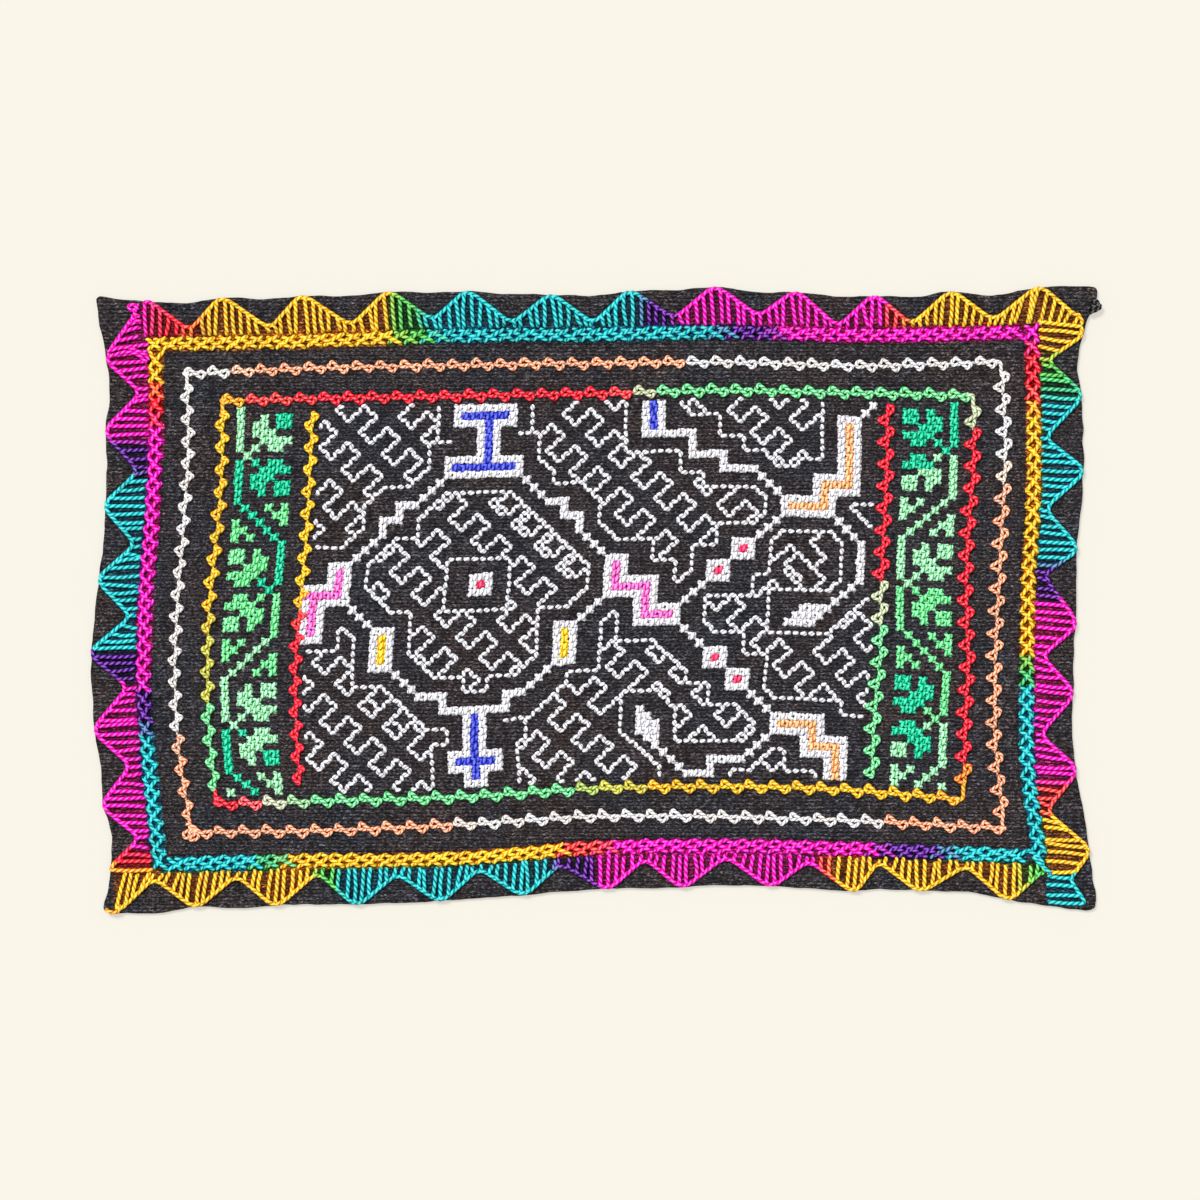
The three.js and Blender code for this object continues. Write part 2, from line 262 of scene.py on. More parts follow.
# Blocks of cross stitch in colour, each with a row of white round it: column, row, columns, rows.
BLOCKS = {
    "blue": [(18, 1, 6, 1), (21, 1, 1, 8), (17, 8, 8, 1), (21, 42, 1, 9), (19, 48, 5, 1), (42, -1, 1, 5)],
    "pink": [
        (38, 22, 1, 4), (38, 25, 5, 1), (42, 25, 1, 5), (42, 29, 4, 1),
        (3, 22, 1, 4), (-1, 25, 5, 1), (0, 25, 1, 6),
    ],
    "yellow": [(32, 31, 1, 4), (9, 31, 1, 4)],
    "tangerine": [
        (60, 14, 5, 1), (64, 11, 1, 4), (64, 11, 4, 1), (67, 3, 1, 9),
        (60, 44, 5, 1), (64, 44, 1, 4), (64, 47, 4, 1), (67, 47, 1, 5),
    ],
    "rose": [(21, 24, 1, 1), (54, 20, 1, 1), (51, 23, 1, 1), (51, 35, 1, 1), (54, 38, 1, 1)],
}

# Bars of white cross stitch: column, row, columns, rows.
WHITE_BARS = [
    (29, 13, 3, 1), (31, 13, 1, 3), (31, 15, 3, 1), (33, 15, 1, 3), (25, 39, 3, 1), (25, 39, 1, 3),
    (17, 41, 9, 1), (17, 39, 1, 3), (14, 39, 4, 1), (8, 15, 1, 3), (8, 15, 3, 1), (10, 13, 1, 3),
    (10, 13, 3, 1), (41, 4, 7, 1), (47, 4, 1, 4), (47, 7, 5, 1), (51, 7, 1, 3), (51, 9, 5, 1),
    (69, 19, 1, 6), (62, 28, 4, 1), (61, 29, 4, 1), (60, 30, 4, 1), (51, 49, 5, 1), (51, 49, 1, 3),
    (48, 51, 4, 1), (42, 42, 1, 4), (43, 43, 1, 4), (44, 44, 1, 4),
]

# Slanting rows of single white crosses: first column and row, how many, and 1 for down or -1 for up.
WHITE_SLANTS = [
    (26, 10, 3, 1), (34, 18, 3, 1), (34, 29, 3, -1), (28, 38, 3, -1), (11, 36, 3, 1), (5, 27, 3, 1),
    (5, 20, 3, -1), (13, 12, 3, -1), (56, 10, 3, 1), (69, 1, 2, -1), (56, 18, 3, -1), (66, 16, 3, 1),
    (66, 27, 3, -1), (47, 27, 3, -1), (47, 31, 3, 1), (56, 40, 3, 1), (56, 48, 3, -1), (45, 48, 3, 1),
]

# Lines of white back stitch: the corner that each starts from, then its stitches by compass letter.
# A number repeats the letters after it, so "2SE" is south, east, south, east.
PLUS = "WSWNWNENESES"
CONTOURS = [
    (15, 0, "5S 1W 4S 2WS 4W 2SW 3S 3SW 3W"),
    (17, 5, "2W"),
    (27, 0, "4S 1E 4S 2ES 1S 4E 2SE 3S 3SE 4E 3S 3E 3S 2EN 3N 3E 3N 4E 2EN 1N 2NW 6W 2N 3W 2N 1NW 6W 7N"),
    (25, 4, "2E"),
    (46, 0, "2SE 3E 3S 3E 2S 3E 2SE 2E 1N 3E 8N"),
    (71, 27, "5WS 8W 6N 3E 4E 2EN 4N 2NW 5W 2WS 4S 2W 3S 5W 1WS 2S 2SE 3E 3S 3E 4S 2SE 8E 2S 3E"),
    (64, 18, "SWSESESWSWNWNWSWSESE 2S"),
    (27, 52, "6N 1E 2N 5NE 2N 4E 6N 2NE 4S 5E 4SE 2S 3E 3S 4E 2SE 1S 2SW 8W 4N 3NW 4W 6S 5ES 1S"),
    (25, 43, "3E"),
    (18, 12, "6E 11ES 2S 2SW 1S 4W 6S 3SW 3W 2S 3W 2N 4W 3NW 6N 3W 3NW 3N 4NE 2E 2N 4NE 1E"),
    (26, 14, PLUS),
    (29, 17, PLUS),
    (32, 20, PLUS),
    (35, 23, PLUS),
    (17, 21, "8E 7S 8W 7N"),
    (0, 33, "4E 3N 1E 1S 1E 7S 3E 6ES 3E 2S 2W 6S"),
    (11, 40, PLUS),
    (14, 43, PLUS),
    (54, 52, "1N 3E 3NE 1E 3S 4E 1S"),
    (68, 14, "3E"),
    (68, 14, "3SE"),
]

# The hooked line that fills the fields between the contours. One unit moves it on by three cells each
# way, and the next line starts two columns back and five rows down.
HOOK = "SESWSWSESENENE"
HOOK_START, HOOK_STEP, HOOK_ROW = (1, 2), (3, 3), (-2, 5)
SHORTEST_LINE = 4
WAYS = {"E": (1, 0), "W": (-1, 0), "S": (0, 1), "N": (0, -1)}

# One bend of the vine in cross stitch. S is its stem, L a leaf, B a berry and P a sprig.
VINE_BEND = [
    "S......",
    "S..L.BB",
    "S.LL.BB",
    "S.LLL..",
    "S..LLLL",
    "S.S.LL.",
    ".S.....",
    "S.S.LL.",
    "S..LLLL",
    "S.LLL..",
    "S.LL.BB",
    "S..L.BB",
    "S......",
    ".S..P.P",
    "..S..PP",
    "P..S..P",
    "PP..S..",
    "P.P..S.",
]
VINE_COLUMNS, VINE_ROWS, VINE_HALF_WIDTH, VINE_INSET = 7, 52, 9.25, 2.4
VINE_SHIFT = {"left": 0.9, "right": 0.3}

# The dyes down each vine: first row, then the stem's, the leaves' and the berries'.
VINE_DYES = {
    "left": [
        (0, "mint", "mint", "jade"), (7, "jade", "jade", "jade"), (13, "jade", "sprig", "leaf"),
        (25, "sprig", "sprig", "leaf"), (31, "mint", "sprig", "sprig"), (36, "mint", "mint", "mint"),
        (43, "jade", "mint", "jade"), (49, "jade", "mint", "mint"),
    ],
    "right": [
        (0, "jade", "jade", "jade"), (7, "mint", "jade", "mint"), (9, "mint", "mint", "mint"),
        (25, "sprig", "sprig", "sprig"), (36, "sprig", "jade", "jade"), (43, "mint", "jade", "mint"),
        (49, "mint", "mint", "mint"),
    ],
}

# One unit of the looped chain, a figure of eight: distance on, distance to the left of the way it is
# worked, and height above the cloth. Upright lines are worked downwards, and the others to the right.
CHAIN_LOOPS = {
    "top": [
        (3.7, -0.1, 0.0), (1.0, -0.5, 0.0), (0.2, 0.3, 0.1), (1.6, 1.8, 0.3), (3.7, 0.1, 0.6),
        (5.8, -1.8, 0.3), (7.2, -0.4, 0.1), (6.5, 0.4, 0.0), (3.7, -0.1, 0.0),
    ],
    "right": [
        (3.4, 0.5, 0.0), (1.4, 0.4, 0.0), (0.2, 0.8, 0.1), (1.0, 2.1, 0.2), (2.3, 1.9, 0.4),
        (3.4, 0.3, 0.6), (5.0, -2.5, 0.3), (6.6, 0.2, 0.1), (3.4, 0.5, 0.0),
    ],
    "bottom": [
        (3.4, -0.2, 0.0), (0.4, -0.2, 0.0), (0.2, 0.4, 0.1), (0.9, 1.9, 0.3), (3.4, 0.0, 0.6),
        (5.4, -1.9, 0.3), (7.2, -0.6, 0.1), (6.8, 0.2, 0.0), (3.4, -0.2, 0.0),
    ],
    "left": [
        (3.1, 0.2, 0.0), (0.2, 0.1, 0.1), (1.6, 1.9, 0.3), (2.9, 0.2, 0.6), (4.3, -1.9, 0.3),
        (6.4, -0.2, 0.1), (3.1, 0.2, 0.0),
    ],
}
CHAIN_UNIT = {"top": 8.0, "right": 7.3, "bottom": 8.0, "left": 7.3}

# Knots and loose ends: the run whose piece they are in, the dye, how far they are raised above the
# cloth, and points in the plan.
LOOSE_ENDS = [
    (("edging", "left"), "magenta", 0.0, [
        (-151.8, 96.6), (-153.0, 98.2), (-154.8, 97.8), (-154.2, 96.4), (-152.6, 96.8), (-152.8, 95.2),
        (-151.0, 94.2),
    ]),
    (("edging", "left"), "magenta", 0.0, [(-153.2, 95.0), (-153.6, 93.4), (-152.0, 93.0), (-150.6, 92.2)]),
    (("edging", "left"), "magenta", 0.7, [
        (-162.0, 82.7), (-156.3, 84.0), (-153.0, 83.3), (-149.0, 81.3), (-148.3, 79.7),
    ]),
    (("edging", "left"), "magenta", 0.7, [(-161.3, 81.0), (-156.0, 82.5), (-152.0, 81.7), (-148.7, 79.0)]),
    (("edging", "top"), "yellow", 0.0, [(161.2, 95.0), (162.3, 93.2), (162.4, 91.8)]),
    (("edging", "right"), "black", 0.0, [
        (164.5, 97.0), (166.8, 97.6), (167.9, 98.8), (166.6, 99.6), (166.0, 98.2), (167.6, 97.4),
        (168.6, 98.4),
    ]),
    (("edging", "right"), "black", 0.0, [
        (165.0, 95.6), (166.9, 96.4), (168.4, 97.3), (167.2, 98.3), (166.2, 96.9),
    ]),
    (("edging", "bottom"), "amber", 0.0, [
        (-162.4, -103.1), (-160.6, -103.9), (-158.4, -103.6), (-157.8, -101.2),
    ]),
    (("herringbone", "right"), "cyan", 0.0, [(146.4, -85.6), (148.8, -88.2), (152.2, -91.0)]),
    (("herringbone", "right"), "cyan", 0.0, [(144.6, -83.4), (147.6, -85.2), (149.8, -88.0)]),
    (("chain_outer", "left"), "peach", 0.0, [
        (-135.8, -74.6), (-134.0, -75.0), (-132.6, -77.6), (-135.6, -79.4), (-136.6, -77.6), (-133.2, -76.6),
        (-131.6, -79.0), (-134.2, -80.0), (-134.8, -77.0),
    ]),
]

# How far the loops swing from side to side, as a share of those in the table.
CHAIN_SWING = {"chain_outer": 1.08, "chain_inner": 1.08, "divider": 1.1}

# How the herringbone is spaced: the pitch, half its width between the holes, and where in each unit the
# strokes to the left of the way it is worked and to the right of it start and end, and how they bend.
HERRINGBONE = {
    "top": {"pitch": 5.35, "half": 1.9, "rising": (-0.3, 6.3, 0.25), "falling": (2.2, 9.6, 0.1)},
    "right": {"pitch": 5.0, "half": 2.2, "rising": (0.4, 6.0, 0.8), "falling": (-1.1, 5.0, 0.2)},
    "bottom": {"pitch": 5.4, "half": 2.0, "rising": (-0.2, 7.4, 0.25), "falling": (2.0, 9.7, 0.1)},
    "left": {"pitch": 4.9, "half": 2.3, "rising": (-0.2, 5.5, -0.7), "falling": (-0.5, 5.4, 0.0)},
}

# How each kind of thread lies: width, height, mesh sides, length of a mesh step, length of one twist.
THREADS = {
    "edging": (1.4, 1.1, 8, 0.35, 4.0),
    "herringbone": (1.52, 1.0, 8, 0.35, 4.0),
    "chain_outer": (1.32, 0.85, 6, 0.35, 3.2),
    "chain_inner": (1.5, 1.0, 6, 0.35, 3.4),
    "divider": (1.4, 0.95, 6, 0.35, 3.2),
    "cross": (1.7, 0.75, 6, 0.55, 4.0),
    "vine": (1.6, 0.7, 6, 0.55, 4.0),
    "back": (1.5, 0.9, 6, 0.4, 4.0),
}

# The colour for the slot name of each run, in the order in which the runs are sewn, and that for each
# dye of the panel's crosses.
SLOTS = {
    "edging": {"top": "yellow", "right": "magenta", "bottom": "yellow", "left": "magenta"},
    "herringbone": {"top": "cyan", "right": "orange", "bottom": "yellow", "left": "magenta"},
    "chain_outer": {"top": "peach", "right": "peach", "bottom": "cream", "left": "cream"},
    "chain_inner": {"top": "red", "right": "red", "bottom": "green", "left": "yellow"},
    "divider": {"left": "yellow", "right": "red"},
}
PANEL_SLOTS = {
    "white": "white", "blue": "blue", "pink": "pink",
    "yellow": "yellow", "tangerine": "orange", "rose": "red",
}


def linear(rgb):
    """Scene-linear values of a colour that is given in 0 to 255."""
    share = np.asarray(rgb, float) / 255
    return np.where(share <= 0.04045, share / 12.92, ((share + 0.055) / 1.055) ** 2.4)


COLOURS = {dye: linear(rgb) for dye, rgb in DYES.items()}


def smooth(share):
    """Eases from 0 to 1 as share goes from 0 to 1."""
    share = np.clip(share, 0, 1)
    return share * share * (3 - 2 * share)


def within(along, start, end, fade):
    """1 between start and end, easing to 0 at a fade's length past them."""
    return smooth((along - start + fade) / fade) * smooth((end + fade - along) / fade)


def on_side(side, along, out):
    """The place in the plan of points that are given along a side and out from the middle."""
    along, out = np.broadcast_arrays(np.asarray(along, float), np.asarray(out, float))
    out = out if side in OUT_IS_POSITIVE else -out
    return np.stack([along, out] if side in LEVEL_SIDES else [out, along], -1)


def along_and_out(side, x, y):
    """How far along a side points of the plan are, and how far out towards it."""
    along, out = (x, y) if side in LEVEL_SIDES else (y, x)
    return along, out if side in OUT_IS_POSITIVE else -out


def side_knots(side):
    """Rows of (along, out, cloth's edge) for a side's dips and crests, in order."""
    knots = []
    for dip_at, dip, edge, crest_at, crest in SCALLOPS[side]:
        if dip_at is not None:
            knots.append((dip_at, dip, edge or 0))
        if crest_at is not None:
            knots.append((crest_at, crest, crest + RIM_MARGIN))
    return np.array(knots)


def scallop_out(side, along):
    """How far out the edging's rope is: round through each dip, straight up, then round over the crest."""
    knots = side_knots(side)
    after = np.clip(np.searchsorted(knots[:, 0], along), 1, len(knots) - 1)
    ends = np.stack([knots[after - 1], knots[after]])
    low = np.argmin(ends[:, :, 1], axis=0)
    pick = np.arange(len(along))
    dip, crest = ends[low, pick], ends[1 - low, pick]
    share = np.clip((along - dip[:, 0]) / (crest[:, 0] - dip[:, 0]), 0, 1)
    low, high = SCALLOP_FLANK
    slope = 2 / (1 + high - low)
    through, over = slope * share**2 / (2 * low), 1 - slope * (1 - share) ** 2 / (2 * (1 - high))
    rise = np.where(share < low, through, np.where(share < high, slope * (share - low / 2), over))
    return dip[:, 1] + (crest[:, 1] - dip[:, 1]) * rise


def distances(path):
    """How far along a path each of its points is."""
    return np.concatenate([[0], np.cumsum(np.linalg.norm(np.diff(path, axis=0), axis=1))])


def points_at(path, places):
    """The points at some distances along a path."""
    far = distances(path)
    return np.stack([np.interp(places, far, path[:, k]) for k in range(path.shape[1])], -1)


def path_along(knots, step):
    """Points at even steps on straight lines between the knots, with the corners rounded."""
    knots = np.asarray(knots, float)
    length = distances(knots)[-1]
    path = points_at(knots, np.linspace(0, length, max(5, int(round(length / step)) + 1)))
    for _ in range(2):
        path[1:-1] = path[:-2] * 0.25 + path[1:-1] * 0.5 + path[2:] * 0.25
    return path


def curve_through(values, place):
    """A smooth curve through evenly spaced values, at places that are counted in steps."""
    values = np.asarray(values, float)
    values = np.concatenate([[2 * values[0] - values[1]], values, [2 * values[-1] - values[-2]]])
    step = np.clip(np.asarray(place, float).astype(int), 0, len(values) - 4)
    t = place - step
    if values.ndim > 1:
        t = t[:, None]
    a, b, c, d = (values[step + k] for k in range(4))
    return b + 0.5 * t * (c - a + t * (2 * a - 5 * b + 4 * c - d + t * (3 * (b - c) + d - a)))


def closed_curve(knots, steps):
    """Points on a closed curve that goes smoothly through the knots, with so many steps to each."""
    a, b, c, d = (np.roll(knots, k, axis=0) for k in (1, 0, -1, -2))
    g0, g1, g2 = (np.sqrt(np.linalg.norm(q - p, axis=1))[:, None] for p, q in ((a, b), (b, c), (c, d)))
    leave = ((b - a) / g0 - (c - a) / (g0 + g1) + (c - b) / g1) * g1
    arrive = ((c - b) / g1 - (d - b) / (g1 + g2) + (d - c) / g2) * g1
    t = (np.arange(steps) / steps)[None, :, None]
    b, c, leave, arrive = (values[:, None, :] for values in (b, c, leave, arrive))
    curve = (2 * t**3 - 3 * t**2 + 1) * b + (3 * t**2 - 2 * t**3) * c
    curve += (t**3 - 2 * t**2 + t) * leave + (t**3 - t**2) * arrive
    return curve.reshape(-1, knots.shape[1])


def run_out(run, along):
    """How far out a run of stitches is, on a smooth curve through its table's distances."""
    start, end, outs = RUNS[run]
    share = np.clip((np.asarray(along, float) - start) / (end - start), 0, 1)
    return curve_through(outs, share * (len(outs) - 1))


def outline_sides():
    """The cloth's outline as four curves from corner to corner, clockwise from the top left."""
    knots = []
    for side, order in zip(SIDES, (1, -1, -1, 1)):
        inner = side_knots(side)[1:-1]
        knots += CORNERS[side] + on_side(side, inner[:, 0], inner[:, 2])[::order].tolist()
    curve = closed_curve(np.array(knots), 12)
    turns = [int(np.argmax(curve @ way)) for way in ((-1, 1), (1, 1), (1, -1), (-1, -1))]
    curve = np.roll(curve, -turns[0], axis=0)
    stops = [(turn - turns[0]) % len(curve) for turn in turns] + [len(curve)]
    curve = np.concatenate([curve, curve[:1]])
    return {side: curve[stops[k] : stops[k + 1] + 1] for k, side in enumerate(SIDES)}


EDGES = outline_sides()
all_edges = np.concatenate(list(EDGES.values()))
cloth_low, cloth_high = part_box("cloth")
MIDDLE = (all_edges.min(0) + all_edges.max(0)) / 2 - np.array((cloth_low + cloth_high)[:2]) / 2 / MM


def edge_distance(x, y):
    """How far inside the cloth's edge a point is."""
    inside = []
    for side, edge in EDGES.items():
        along, out = along_and_out(side, x, y)
        edge_along, edge_out = along_and_out(side, *edge.T)
        order = np.argsort(edge_along)
        inside.append(np.interp(along, edge_along[order], edge_out[order]) - out)
    return np.minimum.reduce(inside)


def surface(x, y):
    """Height of the cloth's upper face: its hem, its slight unevenness, and where stitches draw it in."""
    hem = HEM_RISE * (1 - smooth((edge_distance(x, y) - HEM_WIDTH) / HEM_RAMP))
    uneven = WAVE * np.sin(x / 21 + 1.3) * np.sin(y / 15 + 0.4) + RIPPLE * np.sin(x / 8.3 + y / 11.7)
    drawn = np.zeros(np.shape(x))
    for run, (start, end, _) in RUNS.items():
        along, out = along_and_out(run[1], x, y)
        beside = (out - run_out(run, along)) / DRAWN_WIDTH[run[0]]
        drawn = np.maximum(drawn, within(along, start, end, 3) * np.exp(-(beside**2)))
    return THICKNESS + hem + uneven + FACE_LIFT - DRAWN_IN * drawn


def mesh_object(name, points, faces, material, uv=None, tint=None):
    """A smooth mesh of four-sided faces, from points in the plan's millimetres."""
    mesh = bpy.data.meshes.new(name)
    points = (np.asarray(points) - [*MIDDLE, 0]) * MM
    mesh.vertices.add(len(points))
    mesh.vertices.foreach_set("co", points.astype(np.float32).ravel())
    mesh.loops.add(faces.size)
    mesh.loops.foreach_set("vertex_index", faces.astype(np.int32).ravel())
    mesh.polygons.add(len(faces))
    mesh.polygons.foreach_set("loop_start", np.arange(0, faces.size, 4, dtype=np.int32))
    mesh.polygons.foreach_set("use_smooth", np.ones(len(faces), bool))
    mesh.update(calc_edges=True)
    if uv is not None:
        mesh.uv_layers.new(name="thread").data.foreach_set("uv", uv.astype(np.float32).ravel())
    if tint is not None:
        rgba = np.c_[tint, np.ones(len(tint))][:, :4]
        layer = mesh.attributes.new("tint", "FLOAT_COLOR", "POINT")
        layer.data.foreach_set("color", rgba.astype(np.float32).ravel())
    mesh.materials.append(material)
    made = bpy.data.objects.new(name, mesh)
    bpy.context.scene.collection.objects.link(made)
    return made


def unit(vectors):
    """Rows of vectors, each made 1 long."""
    return vectors / np.maximum(np.linalg.norm(vectors, axis=1, keepdims=True), 1e-9)


class Threads:
    """Collects stitches as tubes, to be joined as one mesh."""

    plies, ply_depth = 2, 0.15

    def __init__(self, width, height, sides, step, lay):
        self.width, self.height, self.sides, self.step, self.lay = width, height, sides, step, lay
        self.points, self.faces, self.uvs, self.tints, self.count = [], [], [], [], 0

    def tube(self, path, dyes, scale=1.0):
        """Adds a thread along a path of (x, y, z), with one colour and width or one for each point."""
        n, k = len(path), self.sides
        ahead = unit(np.gradient(path, axis=0))
        beside = unit(np.cross(ahead, [0.0, 0.0, 1.0]))
        upward = np.cross(beside, ahead)
        travelled = distances(path) + draw.uniform(0, self.lay)
        angle = np.arange(k) * 2 * np.pi / k
        twist = travelled[:, None] * 2 * np.pi / self.lay
        swell = 1 + self.ply_depth * np.cos(self.plies * (angle[None, :] - twist))
        swell *= np.broadcast_to(scale, n)[:, None] / 2
        across = np.cos(angle) * swell * self.width
        rise = np.sin(angle) * swell * self.height
        ring = path[:, None] + across[..., None] * beside[:, None] + rise[..., None] * upward[:, None]
        ring_start, turn = np.arange(n - 1)[:, None] * k, np.arange(k)[None, :]
        here, next_side = ring_start + turn, ring_start + (turn + 1) % k
        walls = np.stack([here, here + k, next_side + k, next_side], -1).reshape(-1, 4)
        cap = np.array([(j, j + 1, k - 2 - j, k - 1 - j) for j in range(k // 2 - 1)])
        uv = np.stack(np.broadcast_arrays(np.arange(k + 1) / k, travelled[:, None]), -1)
        wall_uv = np.stack([uv[:-1, :-1], uv[1:, :-1], uv[1:, 1:], uv[:-1, 1:]], 2).reshape(-1, 4, 2)
        cap_uv = np.broadcast_to(uv[0, 0], (len(cap) * 2, 4, 2))
        self.points.append(ring.reshape(-1, 3))
        self.faces.append(np.concatenate([walls, cap, (n - 1) * k + cap[:, ::-1]]) + self.count)
        self.uvs.append(np.concatenate([wall_uv, cap_uv]).reshape(-1, 2))
        self.tints.append(np.repeat(np.broadcast_to(dyes, (n, 3)), k, axis=0))
        self.count += n * k

    def laid(self, knots, dyes, scale=1.0):
        """Adds a thread through knots of (x, y, height above the cloth), with rounded corners."""
        path = path_along(knots, self.step)
        path[:, 2] += surface(path[:, 0], path[:, 1])
        self.tube(path, dyes, scale)

    def stitch(self, ends, dyes, lift=0.0, dive=0.7, scale=1.0, plump=0.0, bow=0.0):
        """Adds a stitch between two points of the plan, its ends diving into the cloth.

        lift raises it, evenly or from one value at its start to another at its end. plump is how much
        narrower its ends are than its middle, and bow how far it bends to its left.
        """
        ends = np.asarray(ends, float)
        length = np.linalg.norm(ends[-1] - ends[0])
        count = max(6, int(round(length / self.step)) + 1)
        share = np.linspace(0, 1, count)
        plan = ends[0] + (ends[-1] - ends[0]) * share[:, None]
        aside = np.array([ends[0, 1] - ends[-1, 1], ends[-1, 0] - ends[0, 0]]) / max(length, 1e-6)
        plan += bow * np.sin(share * np.pi)[:, None] * aside
        from_middle = np.abs(2 * share - 1)
        arch = 1 - from_middle ** max(3.0, length)
        lift = np.linspace(*np.broadcast_to(lift, 2), count)
        height = surface(plan[:, 0], plan[:, 1]) + self.height * (0.42 - dive * (1 - arch)) + lift * arch
        self.tube(np.c_[plan, height], dyes, scale * (1 - plump * from_middle**3))

    def made(self, name, material, slot, *nodes):
        """The joined mesh, riding on the cloth in place of the CAD nodes that it stands for."""
        arrays = (np.concatenate(part) for part in (self.points, self.faces, self.uvs, self.tints))
        points, faces, uvs, tints = arrays
        piece = mesh_object(name, points, faces, material, uvs, tints)
        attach(piece, "root")
        if nodes:
            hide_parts(*nodes)
        return piece


def shade(run, along):
    """The colours of a run's thread at distances along it."""
    places = np.ravel([ends for _, *ends in SHADES[run]])
    dyes = np.repeat([COLOURS[dye] for dye, *_ in SHADES[run]], 2, axis=0)
    return np.stack([np.interp(np.atleast_1d(along), places, dyes[:, k]) for k in range(3)], -1)


def aged(tint, spread):
    """A colour made a little lighter or darker by chance, for each stitch."""
    return np.clip(np.asarray(tint) * (1 + draw.uniform(-spread, spread)), 0, 1)


class Nodes:
    """Short calls for building a material's node tree."""

    def __init__(self, name):
        self.material = bpy.data.materials.new(name)
        self.material.use_nodes = True
        self.tree = self.material.node_tree
        self.shader = self.tree.nodes["Principled BSDF"]

    def feed(self, node, values):
        """Gives a node's inputs, by name or number, the sockets or plain values to take."""
        for key, value in values.items():
            if isinstance(value, bpy.types.NodeSocket):
                self.tree.links.new(value, node.inputs[key])
            else:
                node.inputs[key].default_value = value

    def add(self, kind, values=None, output=0, **settings):
        """Adds a node, feeds its inputs and gives one of its outputs."""
        node = self.tree.nodes.new(kind)
        for key, value in settings.items():
            setattr(node, key, value)
        self.feed(node, values or {})
        return node.outputs[output]

    def noise(self, place, scale, detail=3.0, roughness=0.6):
        """Noise with about so many lumps to the metre."""
        values = {"Vector": place, "Scale": scale, "Detail": detail, "Roughness": roughness}
        return self.add("ShaderNodeTexNoise", values)

    def math(self, operation, *values):
        """A Math node on sockets or numbers."""
        return self.add("ShaderNodeMath", dict(enumerate(values)), operation=operation)

    def split(self, vector):
        """The three parts of a vector socket."""
        return self.add("ShaderNodeSeparateXYZ", {0: vector}).node.outputs

    def ramp(self, value, *stops):
        """A colour ramp through stops of (position, colour), where one number stands for a grey."""
        ramped = self.add("ShaderNodeValToRGB", {0: value})
        elements = ramped.node.color_ramp.elements
        while len(elements) < len(stops):
            elements.new(0.5)
        for element, (position, colour) in zip(elements, stops):
            element.position = position
            element.color = (*np.broadcast_to(colour, 3), 1)
        return ramped

    def mix(self, share, a, b, blend="MIX"):
        """A colour mix of two sockets or colours."""
        a, b = (value if isinstance(value, bpy.types.NodeSocket) else (*value, 1) for value in (a, b))
        return self.add("ShaderNodeMix", {0: share, 6: a, 7: b}, 2, data_type="RGBA", blend_type=blend)

    def times(self, a, b):
        """Two colours multiplied."""
        return self.mix(1.0, a, b, "MULTIPLY")

    def shade_colour(self, dyed):
        """Painted shade of a dye where little light gets in: fuller and redder, unless it is nearly white.
        """
        _, green, blue = self.split(dyed)
        kept_blue = self.math("MULTIPLY_ADD", green, 0.2, 0.34)
        kept = self.add("ShaderNodeCombineXYZ", {0: 0.95, 1: 0.5, 2: kept_blue})
        kept = self.mix(self.math("MULTIPLY", green, blue), kept, (0.54, 0.53, 0.6))
        return self.times(self.times(self.times(dyed, dyed), dyed), kept)

    def finish(self, colour, height, depth, values):
        """Links the colour and a bump of so many millimetres, and sets the shader's plain values."""
        bump = self.add("ShaderNodeBump", {"Strength": 1.0, "Distance": depth * MM, "Height": height})
        self.feed(self.shader, {"Base Color": colour, "Normal": bump, **values})
        return self.material


def cotton_material():
    """Black evenweave: ribs along X, finer ends along Y, grey flecks, and painted shade between threads.

    Between the border stitches it takes on the painted shade colour of the tint's dye, as far as the tint's
    alpha says: painted reflected light and shade from the stitches, partly their lint.
    """
    n = Nodes("cotton_black")
    place = n.add("ShaderNodeTexCoord", output="Object")
    wander = n.math("MULTIPLY", n.math("SUBTRACT", n.noise(place, 110.0), 0.5), 2.2)
    x, y, _ = n.split(place)
    end, pick = (
        n.math("SINE", n.math("ADD", n.math("MULTIPLY", across, np.pi / (WEAVE_PITCH * MM)), wander))
        for across in (x, y)
    )
    over = n.math("MULTIPLY", end, pick)
    end_top = n.math("MULTIPLY", n.math("ABSOLUTE", end), n.math("MULTIPLY_ADD", over, 0.2, 0.3))
    pick_top = n.math("MULTIPLY", n.math("ABSOLUTE", pick), n.math("MULTIPLY_ADD", over, -0.25, 0.85))
    weave = n.math("MAXIMUM", end_top, pick_top)
    lengthwise = n.add("ShaderNodeMapping", {"Vector": place, "Scale": (0.5, 1.0, 1.0)})
    fibre = n.noise(lengthwise, 2100.0, 4.0, 0.7)
    black, grey, fleck = linear((20, 18, 21)), linear((52, 48, 51)), linear((128, 124, 130))
    colour = n.ramp(fibre, (0.4, black), (0.55, grey), (0.7, fleck))
    colour = n.times(colour, n.ramp(n.noise(place, 420.0, 5.0), (0.35, 0.6), (0.65, 1.4)))
    # Painted shade in the gaps between threads, and the threads' tops painted a little lighter.
    colour = n.times(colour, n.ramp(weave, (0.1, 0.25), (0.6, 1.15)))
    worn = n.ramp(n.noise(place, 32.0), (0.35, (1.2, 1.02, 0.9)), (0.65, (0.85, 1.0, 1.1)))
    colour = n.times(colour, worn)
    tint = n.add("ShaderNodeAttribute", attribute_name="tint")
    # Painted reflected light and shade of the border stitches, partly their lint, mixed in by the tint's
    # alpha.
    lint_and_bounce = n.times(colour, n.times(n.shade_colour(tint), LINT_AND_BOUNCE_STRENGTH))
    colour = n.mix(tint.node.outputs["Alpha"], colour, lint_and_bounce)
    height = n.math("ADD", weave, n.math("MULTIPLY", fibre, 0.8))
    return n.finish(colour, height, 0.4, {"Roughness": 0.95, "Specular IOR Level": 0.15})


